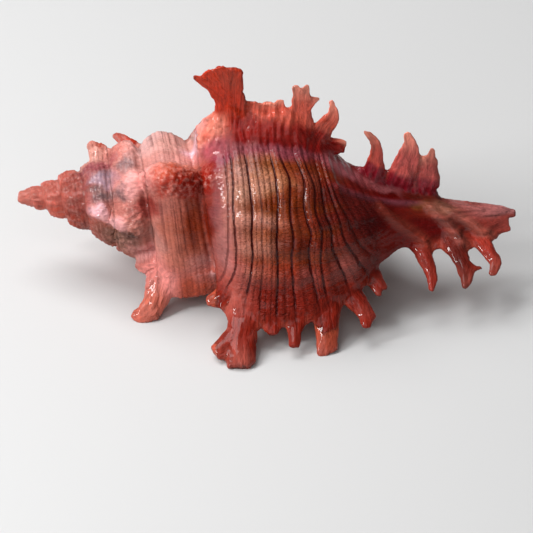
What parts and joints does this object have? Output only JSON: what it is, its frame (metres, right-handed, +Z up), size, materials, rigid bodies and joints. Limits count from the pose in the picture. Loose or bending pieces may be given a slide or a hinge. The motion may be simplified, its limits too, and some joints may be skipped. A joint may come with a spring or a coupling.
{
  "type": "murex shell",
  "caption": "Empty murex sea shell, grown as one piece: stepped spire, rounded body, rows of leafy fronds on its varices, and a long siphonal canal.",
  "frame": {"origin": "On the floor under the middle of the shell's outline, at the height of its worn frond tips.", "axes": "+X along the coiling axis from the apex to the tip of the siphonal canal, +Z up from the floor as the shell lies, -Y towards the side the picture was taken from."},
  "size_m": [0.0799, 0.0494, 0.0405],
  "materials": {
    "murex_shell": "gloss"
  },
  "bodies": {
    "root": {"murex_shell": "murex_shell"}
  },
  "joints": []
}
